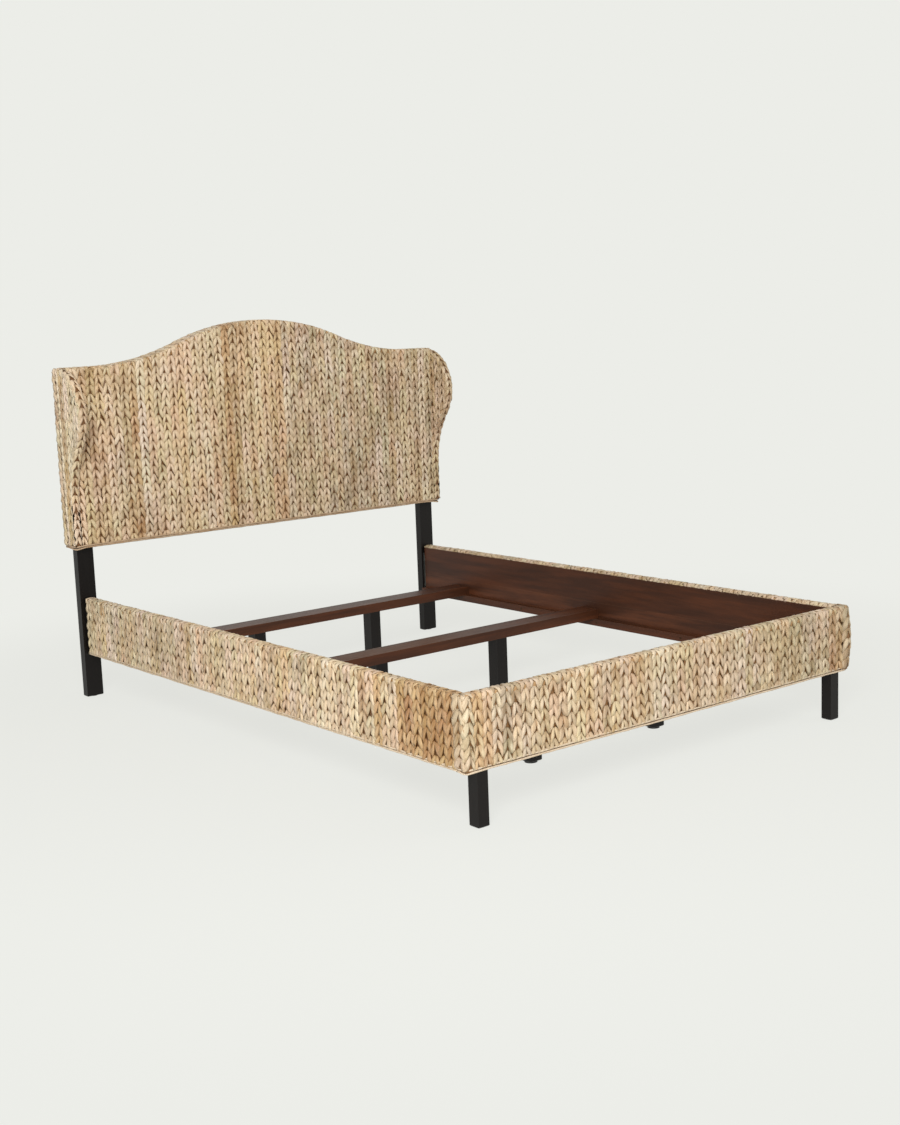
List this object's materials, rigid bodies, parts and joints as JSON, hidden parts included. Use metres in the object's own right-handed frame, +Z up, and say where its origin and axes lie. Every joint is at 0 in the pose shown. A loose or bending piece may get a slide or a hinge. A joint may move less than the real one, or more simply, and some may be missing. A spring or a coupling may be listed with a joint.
{
  "type": "woven bed frame",
  "caption": "Queen bed frame with a winged camel-back headboard, plaited natural-fibre covers over wooden boards, cross slats and black square legs.",
  "frame": {"origin": "on the floor under the middle of the bed's overall box", "axes": "+X to the right seen from the foot, +Y from the foot to the headboard, +Z up"},
  "size_m": [1.702, 2.22, 1.356],
  "materials": {
    "woven_fibre": "plaited dried plant fibre, matt with a slight sheen",
    "edge_cord": "twisted pale fibre cord",
    "stained_wood": "brown stained softwood, satin",
    "sheet_board": "sheet board, brown stained",
    "black_wood": "black paint, satin, on square wooden legs",
    "zinc_steel": "zinc-plated steel",
    "black_plastic": "moulded black plastic"
  },
  "bodies": {
    "bed": {"cleat_screws": "zinc_steel", "corner_bolts": "zinc_steel", "corner_bracket_left": "zinc_steel", "corner_bracket_right": "zinc_steel", "foot_cord": "edge_cord", "foot_cover": "woven_fibre", "foot_lower_plank": "stained_wood", "foot_upper_plank": "stained_wood", "front_leg_left": "black_wood", "front_leg_plates": "zinc_steel", "front_leg_right": "black_wood", "front_leg_studs": "zinc_steel", "head_leg_bolts": "zinc_steel", "head_leg_left": "black_wood", "head_leg_right": "black_wood", "headboard_back_panel": "sheet_board", "headboard_bottom_rail": "stained_wood", "headboard_centre_stile": "stained_wood", "headboard_cord": "edge_cord", "headboard_cover": "woven_fibre", "headboard_panel": "sheet_board", "headboard_side_stile_left": "stained_wood", "headboard_side_stile_right": "stained_wood", "headboard_top_rail": "stained_wood", "leg_catch_plate_left": "zinc_steel", "leg_catch_plate_right": "zinc_steel", "main_leg_glides": "black_plastic", "rail_cleat_left": "stained_wood", "rail_cleat_right": "stained_wood", "rail_cord_left": "edge_cord", "rail_cord_right": "edge_cord", "rail_cover_left": "woven_fibre", "rail_cover_right": "woven_fibre", "rail_hook_plate_left": "zinc_steel", "rail_hook_plate_right": "zinc_steel", "rail_lower_plank_left": "stained_wood", "rail_lower_plank_right": "stained_wood", "rail_upper_plank_left": "stained_wood", "rail_upper_plank_right": "stained_wood", "slat_foot": "stained_wood", "slat_head": "stained_wood", "slat_middle": "stained_wood", "slat_screws": "zinc_steel", "support_leg_foot_left": "black_wood", "support_leg_foot_right": "black_wood", "support_leg_head_left": "black_wood", "support_leg_head_right": "black_wood", "support_leg_middle_left": "black_wood", "support_leg_middle_right": "black_wood", "support_leg_studs": "zinc_steel", "wing_board_left": "sheet_board", "wing_board_right": "sheet_board", "wing_cover_left": "woven_fibre", "wing_cover_right": "woven_fibre"},
    "glide_foot_left": {"levelling_glide_foot_left": "black_plastic"},
    "glide_foot_right": {"levelling_glide_foot_right": "black_plastic"},
    "glide_middle_left": {"levelling_glide_middle_left": "black_plastic"},
    "glide_middle_right": {"levelling_glide_middle_right": "black_plastic"},
    "glide_head_left": {"levelling_glide_head_left": "black_plastic"},
    "glide_head_right": {"levelling_glide_head_right": "black_plastic"}
  },
  "joints": [
    {"name": "glide_foot_left_screw_out", "type": "slide", "parent": "bed", "child": "glide_foot_left", "axis": [0, 0, -1], "range_m": [0, 0.012]},
    {"name": "glide_foot_right_screw_out", "type": "slide", "parent": "bed", "child": "glide_foot_right", "axis": [0, 0, -1], "range_m": [0, 0.012]},
    {"name": "glide_middle_left_screw_out", "type": "slide", "parent": "bed", "child": "glide_middle_left", "axis": [0, 0, -1], "range_m": [0, 0.012]},
    {"name": "glide_middle_right_screw_out", "type": "slide", "parent": "bed", "child": "glide_middle_right", "axis": [0, 0, -1], "range_m": [0, 0.012]},
    {"name": "glide_head_left_screw_out", "type": "slide", "parent": "bed", "child": "glide_head_left", "axis": [0, 0, -1], "range_m": [0, 0.012]},
    {"name": "glide_head_right_screw_out", "type": "slide", "parent": "bed", "child": "glide_head_right", "axis": [0, 0, -1], "range_m": [0, 0.012]}
  ]
}
